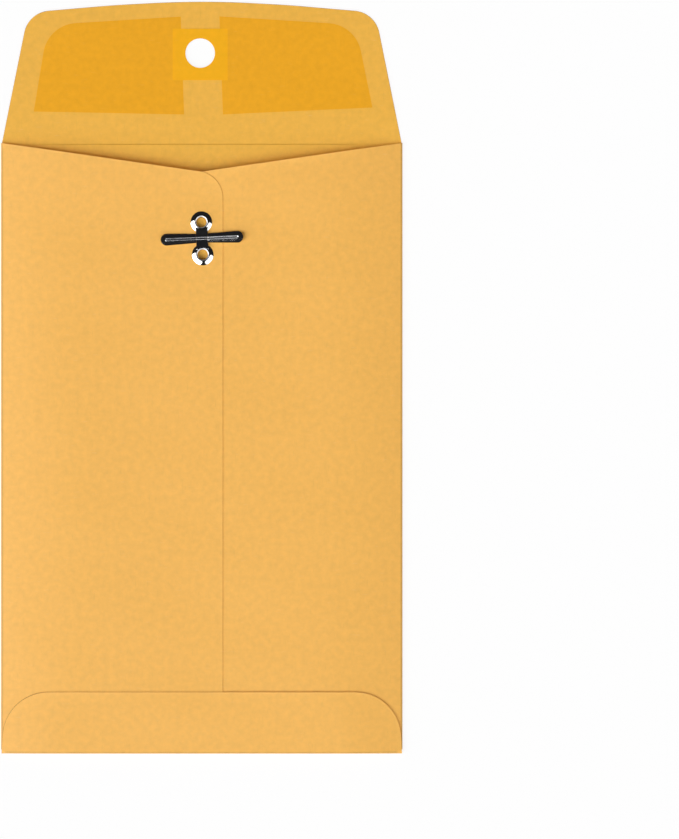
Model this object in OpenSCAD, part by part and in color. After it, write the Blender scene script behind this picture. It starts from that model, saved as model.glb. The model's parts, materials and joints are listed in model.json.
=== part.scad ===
// Clasp envelope: a kraft pocket lying on its front, its gummed flap open, its tinplate clasp spread flat.
// Millimetres. X runs across the pocket, Y towards the flap, Z up from the front face that it lies on.
// The origin is the centre of the front face.

/* [Pocket] */
// Width of the pocket, edge to edge
body_w = 151; // [120:1:260]
// Height of the pocket, from the bottom edge to the flap's crease
body_h = 229; // [170:0.5:390]
// Thickness of the kraft paper
paper_t = 0.15; // [0.1:0.01:0.25]
// Free height inside the empty pocket
pocket_gap = 2; // [0.8:0.1:3]
// Thickness of a dried glue film
glue_t = 0.04; // [0.02:0.01:0.1]

/* [Back panels] */
// How far the free edge of each back panel reaches past the middle
seam_reach = 8; // [6:0.5:12]
// Depth of the throat's V below the crease, at the panels' sharp corners
throat_drop = 11.4; // [6:0.1:16]
// Radius of the back panels' inner top corners
panel_corner_r = 9.9; // [4:0.1:14]
// Gap between a back panel's lower edge and the start of the bottom fold's round
panel_short = 0.2; // [0.1:0.05:2]
// Bare margin between a back panel's free edge and the seam's glue
seam_glue_margin = 2; // [1:0.5:4]

/* [Bottom flap] */
// Height of the bottom flap above the bottom edge
bottom_h = 23.2; // [21:0.1:40]
// Radius of the bottom flap's corners
bottom_corner_r = 17.3; // [5:0.1:18]
// Lean of the bottom flap's short side edges
bottom_lean = 3; // [0:0.5:8]
// Margin between the bottom flap's edge and its glue
bottom_glue_margin = 3; // [2:0.5:6]

/* [Closure flap] */
// Height of the closure flap above the crease, at its middle
flap_h = 54.1; // [44:0.1:80]
// Lean of the flap's side edges
flap_lean = 11.6; // [4:0.1:15]
// How far the flap's corners lie below its middle
flap_crown = 4.2; // [2:0.1:8]
// Radius of the flap's corners
flap_corner_r = 10.2; // [4:0.1:16]
// Radius of the flap's crowned top edge
crown_r = 360; // [200:10:600]
// Clearance between the closed flap and the pocket
flap_clear = 0.2; // [0.1:0.05:1]

/* [Clasp hole] */
// Diameter of the flap's hole
hole_d = 11.1; // [10:0.1:14]
// How far the hole's centre lands short of the clasp's when the flap is closed
hole_short = 0.8; // [0:0.1:1.5]
// Sideways offset of the hole from the clasp
hole_side = -0.8; // [-1:0.1:1]
// Width of the reinforcement patch
patch_w = 20.7; // [16:0.1:26]
// Height of the reinforcement patch
patch_h = 19.4; // [16:0.1:20]
// How far the patch's centre lies from the hole's, towards the crease
patch_shift = 0.5; // [0:0.1:1]
// Thickness of the reinforcement patch
patch_t = 0.09; // [0.05:0.01:0.15]

/* [Gum] */
// Thickness of the dried gum film
gum_t = 0.04; // [0.02:0.01:0.1]
// Bare margin between the gum and the flap's side edge
gum_side = 8.4; // [4:0.1:12]
// Bare margin between the gum and the flap's top edge
gum_top = 5.4; // [3:0.1:8]
// Width of the bare strip between the two gum areas
gum_strip_w = 14.6; // [12:0.1:18]
// Lean of the bare strip
gum_strip_lean = 2; // [0:0.5:4]
// Radius of the gum's outer corner
gum_corner_r = 13; // [4:0.5:16]
// Distance from the crease to the gum at the bare strip
gum_low_inner = 11.4; // [8:0.1:16]
// Distance from the crease to the left gum's outer corner
gum_low_left = 12.5; // [8:0.1:16]
// Distance from the crease to the right gum's outer corner
gum_low_right = 14; // [8:0.1:16]

/* [Clasp] */
// Thickness of the tinplate
tin_t = 0.3; // [0.2:0.05:0.35]
// Distance from the crease to the clasp's centre
clasp_reach = 35.3; // [33:0.1:37]
// Sideways offset of the clasp
clasp_x = 0.2; // [-1:0.1:1]
// Turn of the clasp on the panel, anticlockwise
clasp_tilt = 2.4; // [-5:0.1:5]
// Length over the two spread prongs
clasp_span = 31; // [24:0.5:38]
// Outer diameter of the eyelets' domed rims
eyelet_od = 8.2; // [7.5:0.1:9]
// Bore of the eyelets
eyelet_id = 3.8; // [3.4:0.1:5]
// Height of the eyelets' rims above the paper
rim_h = 0.9; // [0.7:0.05:1]
// Radius of the lip where a rim rolls into its bore
lip_r = 0.5; // [0.4:0.05:0.8]
// Distance between the eyelets' centres
eyelet_pitch = 12.2; // [11:0.1:15]
// Height of the rolled clinch inside the pocket
clinch_h = 0.45; // [0.4:0.05:0.6]
// Clearance round an eyelet's barrel in the paper
barrel_clear = 0.05; // [0.02:0.01:0.2]
// Width of the bridge between the two bend lines
bridge_w = 4.4; // [3:0.1:5]
// How far the bridge's necks stand above the eyelets' rims
neck_step = 0.04; // [0.02:0.01:0.08]
// Radius of the hollow where the necks flare to the eyelets
neck_fillet_r = 1.2; // [0.4:0.1:1.5]
// Width of a prong at its tip
prong_tip_w = 4.4; // [3:0.1:5]
// Width of a prong at its bend line
prong_root_w = 3.4; // [2.5:0.1:4.2]
// Height of the prongs' edges above the paper
prong_lift = 0.45; // [0.3:0.05:0.6]
// Height of a prong's crown above its edges, at the tip
prong_rise = 0.85; // [0.7:0.05:1]
// Depth of the stiffening flute along the prongs
flute_depth = 0.14; // [0.05:0.01:0.18]
// Radius of the stiffening flute
flute_r = 0.55; // [0.3:0.05:0.8]
// Slit between a prong and the bridge
bend_gap = 0.05; // [0.02:0.01:0.1]

/* [Hidden] */
$fn = 96;

kraft = [0.96, 0.74, 0.39];
kraft_inside = [0.93, 0.71, 0.31];
gum_colour = [0.93, 0.66, 0.15];
patch_colour = [0.95, 0.69, 0.14];
glue_colour = [0.9, 0.85, 0.7];
tin = [0.75, 0.76, 0.78];

// Outer edges of the pocket
half_w = body_w / 2;
crease_y = body_h / 2;
bottom_y = -body_h / 2;

// Levels of the stacked layers, from the face that the pocket lies on
under_z = paper_t + pocket_gap;
seam_z = under_z + paper_t;
over_z = seam_z + glue_t;
seat_z = over_z + paper_t;
bottom_flap_z = seat_z + glue_t;

// A fold is a half round of paper from the front panel up to the layer that it carries
function fold_r(layer_z) = (layer_z + paper_t) / 2;
left_fold_r = fold_r(over_z);
right_fold_r = fold_r(under_z);
bottom_fold_r = fold_r(bottom_flap_z);
panel_bottom_y = bottom_y + bottom_fold_r + panel_short;

// The closed flap clears the pocket, so the crease turns about a line above the paper
hinge_z = (seat_z + flap_clear + patch_t + paper_t) / 2;
crease_half = hinge_z * PI / 2;
side_fold_l = crease_y - crease_half - panel_bottom_y;
flap_root = crease_half + bend_gap;

// Flap outline, measured from the crease
flap_corner_h = flap_h - flap_crown;
function flap_half_w(reach) = half_w - reach * tan(flap_lean);
flap_corner_x = flap_half_w(flap_corner_h);
// The top edge falls a third of the crown over the first half, and the rest over the second
crown_mid_x = flap_corner_x / 2;
crown_mid_h = flap_h - flap_crown / 3;
// The peak stands above the flap's height by what its rounding takes off
peak_h = flap_h + crown_r * (1 / cos(atan((flap_h - crown_mid_h) / crown_mid_x)) - 1);
function flap_top(x) = abs(x) < crown_mid_x
    ? flap_h - (flap_h - crown_mid_h) * abs(x) / crown_mid_x
    : crown_mid_h - (crown_mid_h - flap_corner_h) * (abs(x) - crown_mid_x) / (flap_corner_x - crown_mid_x);

// Clasp, in its own frame: U along the prongs, V from eyelet to eyelet, W up from the paper
clasp_y = crease_y - clasp_reach;
eyelet_r = eyelet_id / 2;
barrel_r = eyelet_r + tin_t;
// A rim is a dome that falls from the top of its lip to the paper
crown_r0 = eyelet_r + lip_r;
dome_r = (pow(eyelet_od / 2 - crown_r0, 2) + rim_h * rim_h) / (2 * rim_h);
neck_top = rim_h + neck_step;
panel_stack = paper_t + glue_t + paper_t;
bend_u = bridge_w / 2;
tip_r = prong_tip_w / 2;
tip_u = clasp_span / 2 - tip_r;
// A prong is the top of a cone whose axis lies below the paper, ended by a ball of the cone's radius
crown_tip_r = (tip_r * tip_r + prong_rise * prong_rise) / (2 * prong_rise);
arch_w = prong_lift + prong_rise - crown_tip_r;
crown_root_r = sqrt(pow(prong_root_w / 2, 2) + pow(prong_lift - arch_w, 2));
bend_w = arch_w + crown_root_r;
crown_slope = atan((crown_tip_r - crown_root_r) / (tip_u - bend_u));

// The flap's hole is placed from the clasp that goes through it
hole_x = clasp_x + hole_side;
hole_reach = clasp_reach - hole_short;

// Small overlap that joins solids of one piece
join = 0.2;
// Room past a cut
past = 1;

// A rounded corner: where its arc starts and ends, the arc's centre, and its radius.
// The arc takes at most the given shares of the sides before and after the corner.
function unit(v) = v / norm(v);
function corner(before, at, after, r, share_before, share_after) =
    let (
        a = unit(before - at),
        b = unit(after - at),
        half = acos(a * b) / 2,
        reach = min(r / tan(half), share_before * norm(before - at), share_after * norm(after - at)),
        fit_r = reach * tan(half)
    )
    [at + a * reach, at + b * reach, at + unit(a + b) * fit_r / sin(half), fit_r];

// Two rounded corners halve the side between them, and one has nearly all of it
function share(neighbour_r) = neighbour_r > 0 ? 0.5 : 0.95;

// A polygon with rounded corners: points in order round a convex outline, and a radius for each
module rounded(points, radii) {
    count = len(points);
    corners = [
        for (i = [0 : count - 1])
            let (before = (i + count - 1) % count, after = (i + 1) % count)
            corner(
                points[before], points[i], points[after],
                radii[i], share(radii[before]), share(radii[after])
            )
    ];
    polygon([for (i = [0 : count - 1]) each radii[i] > 0 ? [corners[i][0], corners[i][1]] : [points[i]]]);
    for (i = [0 : count - 1])
        if (radii[i] > 0)
            intersection() {
                polygon([corners[i][0], points[i], corners[i][1]]);
                translate(corners[i][2]) circle(corners[i][3], $fn = 360);
            }
}

// Half a round of folded paper, along +Y, with its open side towards +X
module fold(outer_r, length) {
    rotate([90, 0, 0])
        mirror([0, 0, 1])
            linear_extrude(length)
                intersection() {
                    difference() {
                        circle(outer_r);
                        circle(outer_r - paper_t);
                    }
                    translate([-2 * outer_r, -2 * outer_r]) square([2 * outer_r, 4 * outer_r]);
                }
}

// Places its children at both eyelets of the clasp, in the part's frame
module at_eyelets() {
    translate([clasp_x, clasp_y])
        rotate(clasp_tilt)
            for (side = [-1, 1])
                translate([0, side * eyelet_pitch / 2])
                    children();
}

// The left back panel's outline: the right one is its mirror image
module back_panel_outline(outer_x) {
    shoulder = throat_drop / (half_w + seam_reach);
    rounded(
        [
            [-outer_x, panel_bottom_y],
            [seam_reach, panel_bottom_y],
            [seam_reach, crease_y - throat_drop],
            [-outer_x, crease_y - shoulder * (half_w - outer_x)]
        ],
        [0, 0, panel_corner_r, 0]
    );
}

module bottom_outline(margin) {
    top = bottom_h - margin;
    half_base = half_w - margin;
    half_top = half_base - top * tan(bottom_lean);
    base = bottom_fold_r + margin;
    translate([0, bottom_y])
        rounded(
            [[-half_base, base], [half_base, base], [half_top, top], [-half_top, top]],
            [0, 0, bottom_corner_r - margin, bottom_corner_r - margin]
        );
}

module patch_outline() {
    translate([hole_x - patch_w / 2, crease_y + hole_reach - patch_shift - patch_h / 2])
        square([patch_w, patch_h]);
}

module hole_outline() {
    translate([hole_x, crease_y + hole_reach]) circle(d = hole_d);
}

module front_panel() {
    color(kraft)
        translate([left_fold_r - half_w, bottom_y + bottom_fold_r])
            cube([body_w - left_fold_r - right_fold_r, body_h - bottom_fold_r - crease_half, paper_t]);
}

module left_side_fold() {
    color(kraft)
        translate([left_fold_r - half_w, panel_bottom_y, left_fold_r])
            fold(left_fold_r, side_fold_l);
}

module right_side_fold() {
    color(kraft)
        translate([half_w - right_fold_r, panel_bottom_y, right_fold_r])
            mirror([1, 0, 0])
                fold(right_fold_r, side_fold_l);
}

module left_back_panel() {
    color(kraft)
        translate([0, 0, over_z])
            linear_extrude(paper_t)
                difference() {
                    back_panel_outline(half_w - left_fold_r);
                    at_eyelets() circle(barrel_r + barrel_clear);
                }
}

module right_back_panel() {
    color(kraft)
        translate([0, 0, under_z])
            linear_extrude(paper_t)
                difference() {
                    mirror([1, 0]) back_panel_outline(half_w - right_fold_r);
                    at_eyelets() circle(barrel_r + barrel_clear);
                }
}

// The glue joins the panels where they lap, from the bottom up to their rounded corners
module seam_glue() {
    half = seam_reach - seam_glue_margin;
    top = crease_y - throat_drop - panel_corner_r;
    color(glue_colour)
        translate([0, 0, seam_z])
            linear_extrude(glue_t)
                difference() {
                    translate([-half, panel_bottom_y]) square([2 * half, top - panel_bottom_y]);
                    at_eyelets() circle(barrel_r + barrel_clear);
                }
}

module bottom_fold() {
    color(kraft)
        translate([half_w, bottom_y + bottom_fold_r, bottom_fold_r])
            rotate([0, 0, 90])
                fold(bottom_fold_r, body_w);
}

module bottom_flap() {
    color(kraft)
        translate([0, 0, bottom_flap_z])
            linear_extrude(paper_t)
                bottom_outline(0);
}

// The glue fills the bottom flap's step from the left panel down to the right one
module bottom_glue() {
    color(glue_colour) {
        translate([0, 0, seat_z])
            linear_extrude(glue_t)
                intersection() {
                    bottom_outline(bottom_glue_margin);
                    translate([seam_reach - body_w, bottom_y]) square(body_w);
                }
        translate([0, 0, seam_z])
            linear_extrude(bottom_flap_z - seam_z)
                intersection() {
                    bottom_outline(bottom_glue_margin);
                    translate([seam_reach + glue_t, bottom_y]) square(body_w);
                }
    }
}

module flap_crease() {
    half = half_w - left_fold_r;
    color(kraft_inside)
        translate([-half, crease_y - crease_half])
            cube([2 * half, 2 * crease_half, paper_t]);
}

module closure_flap() {
    root_x = flap_half_w(flap_root);
    color(kraft_inside)
        linear_extrude(paper_t)
            difference() {
                translate([0, crease_y])
                    rounded(
                        [
                            [-root_x, flap_root],
                            [root_x, flap_root],
                            [flap_corner_x, flap_corner_h],
                            [crown_mid_x, crown_mid_h],
                            [0, peak_h],
                            [-crown_mid_x, crown_mid_h],
                            [-flap_corner_x, flap_corner_h]
                        ],
                        [0, 0, flap_corner_r, crown_r, crown_r, crown_r, flap_corner_r]
                    );
                hole_outline();
            }
}

// Gum on one side of the flap, side -1 for the left: it stops at the bare strip and at the patch
module gum(side, low_outer) {
    function strip_x(reach) =
        hole_x + side * gum_strip_w / 2 - (reach - hole_reach) * tan(gum_strip_lean);
    function gum_x(reach) = side * (flap_half_w(reach) - gum_side);
    inner_top = flap_top(strip_x(flap_h)) - gum_top;
    outer_top = flap_top(gum_x(flap_corner_h)) - gum_top;
    color(gum_colour)
        translate([0, 0, paper_t])
            linear_extrude(gum_t)
                difference() {
                    translate([0, crease_y])
                        rounded(
                            [
                                [strip_x(gum_low_inner), gum_low_inner],
                                [gum_x(low_outer), low_outer],
                                [gum_x(outer_top), outer_top],
                                [strip_x(inner_top), inner_top]
                            ],
                            [0, 0, gum_corner_r, 0]
                        );
                    patch_outline();
                }
}

module left_gum() {
    gum(-1, gum_low_left);
}

module right_gum() {
    gum(1, gum_low_right);
}

module hole_patch() {
    color(patch_colour)
        translate([0, 0, paper_t])
            linear_extrude(patch_t)
                difference() {
                    patch_outline();
                    hole_outline();
                }
}

// An eyelet drawn from the tinplate: domed rim and rolled lip on the paper, barrel through it, clinch inside
module eyelet() {
    rotate_extrude() {
        intersection() {
            translate([crown_r0, rim_h - dome_r])
                difference() {
                    circle(dome_r);
                    circle(dome_r - tin_t);
                }
            translate([crown_r0, 0]) square(eyelet_od);
        }
        intersection() {
            translate([crown_r0, rim_h - lip_r])
                difference() {
                    circle(lip_r);
                    circle(lip_r - tin_t);
                }
            translate([eyelet_r, rim_h - lip_r]) square(lip_r);
        }
        translate([eyelet_r, -panel_stack]) square([tin_t, panel_stack + rim_h - lip_r]);
        translate([eyelet_r + clinch_h, -panel_stack])
            intersection() {
                difference() {
                    circle(clinch_h);
                    circle(clinch_h - tin_t);
                }
                translate([-clinch_h, -clinch_h]) square([2 * clinch_h, clinch_h]);
            }
    }
}

// The prongs' arch as a solid from one U to another, drawn in by inset
module arch(from_u, to_u, from_r, to_r, inset) {
    translate([from_u, 0, arch_w])
        rotate([0, 90, 0])
            cylinder(h = to_u - from_u, r1 = from_r - inset, r2 = to_r - inset);
}

// What lies at or above the height of the prongs' edges
module above_edges() {
    translate([-clasp_span, -prong_tip_w, prong_lift])
        cube([2 * clasp_span, 2 * prong_tip_w, clasp_span]);
}

// A neck lies on the eyelet's rim: it starts inside the arch's wall, flares into the dome and ends at the lip
module neck_outline() {
    eyelet_v = eyelet_pitch / 2;
    root_v = sqrt(max(0, pow(crown_root_r, 2) - pow(neck_top - arch_w, 2))) - join;
    dome_edge_r = crown_r0 + sqrt(dome_r * dome_r - pow(dome_r - (rim_h + tin_t - neck_top), 2)) - join;
    fillet_u = bend_u + neck_fillet_r;
    reach = sqrt(pow(dome_edge_r + neck_fillet_r, 2) - fillet_u * fillet_u);
    fillet_v = eyelet_v - reach;
    touch = [fillet_u, fillet_v] + unit([-fillet_u, reach]) * neck_fillet_r;
    difference() {
        union() {
            translate([-bend_u, root_v]) square([bridge_w, touch[1] - root_v]);
            polygon([[-bend_u, fillet_v], [bend_u, fillet_v], touch, [-touch[0], touch[1]]]);
        }
        for (side = [-1, 1])
            translate([side * fillet_u, fillet_v]) circle(neck_fillet_r);
        translate([0, eyelet_v]) circle(crown_r0 + tin_t / 2);
    }
}

// The bridge carries the prongs' arch between the bend lines, and a neck to each eyelet
module bridge() {
    difference() {
        intersection() {
            arch(-bend_u, bend_u, crown_root_r, crown_root_r, 0);
            above_edges();
        }
        arch(-bend_u - past, bend_u + past, crown_root_r, crown_root_r, tin_t);
        translate([-bend_u - past, 0, bend_w + flute_r - flute_depth])
            rotate([0, 90, 0])
                cylinder(h = bridge_w + 2 * past, r = flute_r);
    }
    for (turn = [0, 180])
        rotate([0, 0, turn])
            translate([0, 0, neck_top - tin_t])
                linear_extrude(tin_t)
                    neck_outline();
}

module in_clasp_frame() {
    translate([clasp_x, clasp_y, seat_z])
        rotate([0, 0, clasp_tilt])
            children();
}

module clasp_base() {
    color(tin)
        in_clasp_frame() {
            for (side = [-1, 1])
                translate([0, side * eyelet_pitch / 2])
                    eyelet();
            bridge();
        }
}

// A prong along +U: an arched, fluted strip that widens towards its domed tip
module prong() {
    root_u = bend_u + bend_gap;
    difference() {
        intersection() {
            union() {
                arch(root_u, tip_u, crown_root_r, crown_tip_r, 0);
                translate([tip_u, 0, arch_w]) sphere(crown_tip_r);
            }
            above_edges();
            translate([root_u, -prong_tip_w, -past]) cube([clasp_span, 2 * prong_tip_w, clasp_span]);
        }
        arch(root_u - past, tip_u, crown_root_r, crown_tip_r, tin_t);
        translate([tip_u, 0, arch_w]) sphere(crown_tip_r - tin_t);
        translate([bend_u, 0, bend_w + flute_r - flute_depth])
            rotate([0, 90 - crown_slope, 0])
                translate([0, 0, -past]) {
                    cylinder(h = tip_u - bend_u + past, r = flute_r);
                    translate([0, 0, tip_u - bend_u + past]) sphere(flute_r);
                }
    }
}

module left_prong() {
    color(tin) in_clasp_frame() rotate([0, 0, 180]) prong();
}

module right_prong() {
    color(tin) in_clasp_frame() prong();
}

front_panel();
left_side_fold();
right_side_fold();
left_back_panel();
right_back_panel();
seam_glue();
bottom_fold();
bottom_flap();
bottom_glue();
flap_crease();
closure_flap();
left_gum();
right_gum();
hole_patch();
clasp_base();
left_prong();
right_prong();
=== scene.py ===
"""Looks of a kraft clasp envelope: folded paper sheets, gum films and a stamped tinplate clasp.

Sizes are in millimetres until a mesh is made. Places come from the frame's nodes, joints and mounts.
Values in capitals are set here, and those in lower case are worked out.
"""
import json
import math

import bpy
import numpy as np
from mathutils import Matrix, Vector
from mathutils.geometry import delaunay_2d_cdt
from mathutils.kdtree import KDTree

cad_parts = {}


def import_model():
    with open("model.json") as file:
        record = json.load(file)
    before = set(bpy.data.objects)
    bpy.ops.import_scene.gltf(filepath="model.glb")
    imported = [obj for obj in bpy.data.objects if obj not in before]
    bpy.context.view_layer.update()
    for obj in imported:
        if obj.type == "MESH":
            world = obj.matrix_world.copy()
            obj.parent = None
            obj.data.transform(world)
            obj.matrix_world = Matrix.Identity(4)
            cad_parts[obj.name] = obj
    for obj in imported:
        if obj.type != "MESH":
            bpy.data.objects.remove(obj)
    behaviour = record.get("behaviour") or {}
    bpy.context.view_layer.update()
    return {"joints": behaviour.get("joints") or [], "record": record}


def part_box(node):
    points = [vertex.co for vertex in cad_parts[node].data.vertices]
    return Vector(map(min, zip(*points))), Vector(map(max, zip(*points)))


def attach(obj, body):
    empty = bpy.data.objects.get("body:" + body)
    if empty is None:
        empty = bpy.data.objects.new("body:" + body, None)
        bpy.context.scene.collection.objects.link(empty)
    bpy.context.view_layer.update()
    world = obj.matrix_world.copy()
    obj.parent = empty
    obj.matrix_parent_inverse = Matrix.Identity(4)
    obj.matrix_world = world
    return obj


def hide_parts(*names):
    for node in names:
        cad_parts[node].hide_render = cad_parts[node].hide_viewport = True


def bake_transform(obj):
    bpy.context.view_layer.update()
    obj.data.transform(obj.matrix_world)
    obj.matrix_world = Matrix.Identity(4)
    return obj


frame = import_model()

MM = 0.001

# Photograph: its frame, and where the pocket's centre lies in it
PHOTO_W_PX = 679
PHOTO_H_PX = 839
POCKET_CENTRE_PX = (201.8, 449.1)
POCKET_WIDTH_PX = 401.2
LENS_MM = 150
SENSOR_MM = 36


def node_box(node):
    """Lowest and highest corner of a node, in millimetres."""
    low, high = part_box(node)
    return np.array(low) / MM, np.array(high) / MM


joints = {joint["name"]: joint for joint in frame["joints"]}
mounts = {mount["name"]: mount for mount in frame["record"]["mounts"]}

# Pocket
half_w = node_box("bottom_fold")[1][0]
bottom_y = node_box("bottom_fold")[0][1]
crease_y = joints["flap_fold"]["pos_m"][1] / MM
paper_t = node_box("front_panel")[1][2]
front_mid_z = paper_t / 2
over_mid_z = node_box("left_back_panel")[1][2] - paper_t / 2
under_mid_z = node_box("right_back_panel")[1][2] - paper_t / 2
bottom_mid_z = node_box("bottom_flap")[1][2] - paper_t / 2
glue_t = over_mid_z - under_mid_z - paper_t
panel_bottom_y = node_box("left_back_panel")[0][1]
SEAM_CUT_SLANT = 0.14
seam_reach = node_box("left_back_panel")[1][0] + SEAM_CUT_SLANT / 2
front_top_y = node_box("front_panel")[1][1]
THROAT_SLOPE = 0.1445
SHOULDER_RISE = 0.65
PANEL_CORNER_R = 9.9
bottom_flap_h = node_box("bottom_flap")[1][1] - bottom_y
BOTTOM_CORNER_R = 17.3
BOTTOM_LEAN = math.radians(3)
BOTTOM_GLUE_MARGIN = 3
BOTTOM_CUT_SLANT = 0.13
BOTTOM_CUT_FROM_SIDE = (22, 9)

# Closure flap, measured from the crease
flap_h = node_box("closure_flap")[1][1] - crease_y
FLAP_LEAN = math.radians(11.6)
FLAP_CROWN = 4.2
FLAP_CORNER_R = 10.2
CROWN_R = 360
HOLE_POINTS = 120
hole_x, hole_y = np.array(mounts["flap_hole"]["pos_m"][:2]) / MM
hole_r = mounts["flap_hole"]["dims"]["r_mm"]
gum_t = node_box("left_gum")[1][2] - paper_t
patch_t = node_box("hole_patch")[1][2] - paper_t
GUM_SIDE = 8.4
GUM_TOP = 5.4
GUM_STRIP_W = 14.6
GUM_STRIP_LEAN = math.radians(2)
GUM_CORNER_R = 13
GUM_LOW_INNER = 11.4
GUM_LOW_LEFT = 12.5
GUM_LOW_RIGHT = 14
GUM_LEFT_INSET = 1.3
GUM_STRIP_SHIFT = 0.45
FLAP_CUT_SLANT = 0.1
FLAP_CUT_FROM_CREASE = (0.5, 3)

# Clasp, in its own frame: U along the prongs, V from eyelet to eyelet, W up from the paper
left_bend = np.array(joints["left_prong_bend"]["pos_m"]) / MM
right_bend = np.array(joints["right_prong_bend"]["pos_m"]) / MM
v_axis = np.array(joints["left_prong_bend"]["axis"])
u_axis = np.array([v_axis[1], -v_axis[0], 0])
seat_z = over_mid_z + paper_t / 2
clasp_centre = np.array([*(left_bend + right_bend)[:2] / 2, seat_z])
bend_u = float(np.linalg.norm(right_bend - left_bend)) / 2
bend_w = left_bend[2] - seat_z
TIN_T = 0.3
EYELET_OD = 8.2
EYELET_ID = 3.8
RIM_H = 0.9
LIP_R = 0.5
NECK_STEP = 0.04
EYELET_PITCH = 12.2
BARREL_CLEAR = 0.05
CLINCH_H = 0.45
CLASP_SPAN = 31
PRONG_TIP_W = 4.4
PRONG_ROOT_W = 3.4
PRONG_LIFT = 0.45
PRONG_RISE = 0.85
LEAST_ARCH = 0.1
BEND_GAP = 0.05
FLUTE_R = 0.55
FLUTE_DEPTH = 0.14
NECK_FILLET = 1.2
NECK_SINK = 0.2
NECK_DIP = 0.1
NECK_DIP_SPAN = (1.7, 2.6)
NECK_BLEND = 0.06
BRIDGE_T = 0.45
RIM_POWER = 1.5
BEAD_H = 0.05
BEAD_AT = 0.44
BEAD_HALF = 0.1
barrel_r = EYELET_ID / 2 + TIN_T
tip_r = PRONG_TIP_W / 2
tip_u = CLASP_SPAN / 2 - tip_r
eyelet_v = EYELET_PITCH / 2
eyelets = [clasp_centre[:2] + side * eyelet_v * v_axis[:2] for side in (-1, 1)]
clasp_turn = np.stack([u_axis, v_axis, [0, 0, 1]])


def smooth(edge_0, edge_1, value):
    """0 before edge_0, 1 after edge_1, and an even S between them."""
    t = np.clip((value - edge_0) / (edge_1 - edge_0), 0, 1)
    return t * t * (3 - 2 * t)


# How the paper lies: the back is pillowed towards its folds, lifts at the throat and is nowhere quite flat
EDGE_DROP = 1.6
EDGE_ROLL = 30
BOTTOM_DROP = 0.2
BOTTOM_FOLD_R = 0.34
BOTTOM_ROLL = 36
THROAT_LIFT = 0.45
WAVES = [(0.05, 61, 20, 0.4), (0.04, 43, 115, 2.1), (0.03, 29, 70, 4.0), (0.02, 23, 160, 1.2)]
FLAP_RISE = 0.12
FLAP_RISE_LENGTH = 10
FLAP_WAVE = 0.8
SCORE_DEPTH = 0.15
SCORE_AT = 0.2
SCORE_HALF = 0.14
RIDGE_REACH = 10
FRONT_BOW = 1.45
FRONT_BOW_REACH = (44, 27)
SEAM_CURL = 0.04
THROAT_CURL = 0.16
BOTTOM_CURL = 0.06
CURL_REACH = 1.8

# Spans over which those effects grow or fade, from the edge or place that the name gives
LIFT_FROM_CREASE = (4, 34)
LIFT_FROM_SIDE = (8, 50)
LIFT_FROM_CLASP = (14, 26)
WAVES_FROM_FOLD = (2, 20)
WAVES_FROM_CREASE = (6, 30)
WAVES_FROM_CLASP = (18, 34)
FLAP_WAVES_FROM_CREASE = (3, 16)
RIDGE_FROM_SIDE = (6, 24)
CURL_FROM_SIDE = (4, 30)
CURL_FROM_BOTTOM = (2, 12)
CURL_FROM_LAP = (1, 8)


def unevenness(x, y):
    """Low waves in the paper: amplitude, wavelength, direction in degrees and phase of each."""
    total = np.zeros_like(x)
    for amplitude, length, degrees, phase in WAVES:
        angle = math.radians(degrees)
        along = x * math.cos(angle) + y * math.sin(angle)
        total += amplitude * np.sin(2 * math.pi * along / length + phase)
    return total


def pillow(distance, drop, roll):
    """How far the paper sinks at a distance from a fold: steepest at the fold, level from roll on."""
    return drop * (1 - np.clip(distance / roll, 0, 1)) ** 2


def back_relief(x, y):
    """How far the back layers lie above their flat level."""
    from_side = half_w - np.abs(x)
    from_bottom = y - bottom_y
    from_crease = crease_y - y
    from_clasp = np.hypot(x - clasp_centre[0], y - clasp_centre[1])
    side_drop = pillow(from_side, EDGE_DROP, EDGE_ROLL)
    drop = np.maximum(side_drop, pillow(from_bottom, BOTTOM_DROP, BOTTOM_ROLL))
    lift = THROAT_LIFT * (1 - smooth(*LIFT_FROM_CREASE, from_crease)) * smooth(*LIFT_FROM_SIDE, from_side)
    calm = smooth(*WAVES_FROM_FOLD, from_side) * smooth(*WAVES_FROM_FOLD, from_bottom)
    calm *= smooth(*WAVES_FROM_CREASE, from_crease)
    waves = unevenness(x, y) * calm * smooth(*WAVES_FROM_CLASP, from_clasp)
    return lift * smooth(*LIFT_FROM_CLASP, from_clasp) + waves - drop


def crease_ridge(x, y):
    """How far the paper stands up towards the crease, where it steps down at the score line."""
    out = y - crease_y
    step = 1 - smooth(SCORE_AT - SCORE_HALF, SCORE_AT + SCORE_HALF, out)
    from_side = half_w - np.abs(x)
    return SCORE_DEPTH * smooth(-RIDGE_REACH, 0, out) * step * smooth(*RIDGE_FROM_SIDE, from_side)


def front_relief(x, y):
    """How far the front panel lies above the floor: it bows up under the clasp and at the crease."""
    across, along = (np.array([x, y]) - clasp_centre[:2, None]) / np.array(FRONT_BOW_REACH)[:, None]
    return FRONT_BOW * (1 - smooth(0, 1, np.hypot(across, along))) + crease_ridge(x, y)


def flap_relief(x, y):
    """How far the open flap lies above the floor: it springs up from its crease and waves a little."""
    out = y - crease_y
    rise = FLAP_RISE * smooth(SCORE_AT, FLAP_RISE_LENGTH, out)
    above_floor = unevenness(x, y) + sum(row[0] for row in WAVES)
    wave = FLAP_WAVE * above_floor * smooth(*FLAP_WAVES_FROM_CREASE, out)
    return crease_ridge(x, y) + rise + wave


def edge_depth(depth_a, depth_b, r):
    """Distance in from an outline whose two edges meet in a corner of radius r."""
    return r - np.hypot(np.clip(r - depth_a, 0, None), np.clip(r - depth_b, 0, None))


def curl(depth, height):
    """How far a free edge lifts off what lies under it, at a depth in from the edge."""
    return height * np.clip(1 - depth / CURL_REACH, 0, 1) ** 2


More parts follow.
